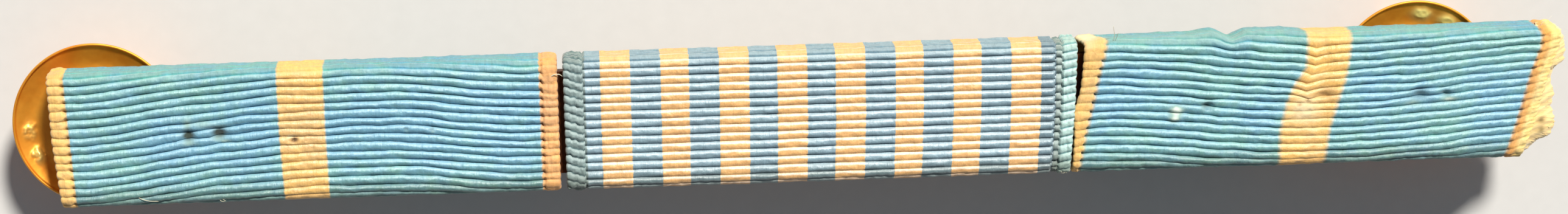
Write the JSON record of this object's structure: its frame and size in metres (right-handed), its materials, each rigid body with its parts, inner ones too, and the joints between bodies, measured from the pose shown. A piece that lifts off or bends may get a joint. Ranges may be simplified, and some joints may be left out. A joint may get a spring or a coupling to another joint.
{
  "type": "ribbon bar",
  "caption": "Bar of ribbed service ribbons wound side by side round a brass strip, with round clutches on pins at its back.",
  "frame": {"origin": "under the middle of the whole, on the surface that the clutches' ears rest on", "axes": "+X along the bar, from the clutch at the ribbons' end to the other; +Y towards the ribbons' top edge; +Z out of the ribbons' faces"},
  "size_m": [0.1068, 0.0112, 0.0083],
  "materials": {
    "bar_brass": "dull, slightly tarnished brass",
    "clutch_brass": "polished warm yellow brass, a little tarnished",
    "ribbon_blue_gold": "ribbed rayon grosgrain, sky blue with a gold stripe and gold woven edges",
    "ribbon_striped": "ribbed rayon grosgrain in narrow gold and blue stripes with grey-blue woven edges"
  },
  "bodies": {
    "root": {"mount_bar": "bar_brass", "ribbon_left": "ribbon_blue_gold", "ribbon_middle": "ribbon_striped", "ribbon_right": "ribbon_blue_gold", "clutch_disc_left": "clutch_brass", "clutch_disc_right": "clutch_brass", "clutch_ears_left": "clutch_brass", "clutch_ears_right": "clutch_brass"}
  },
  "joints": []
}
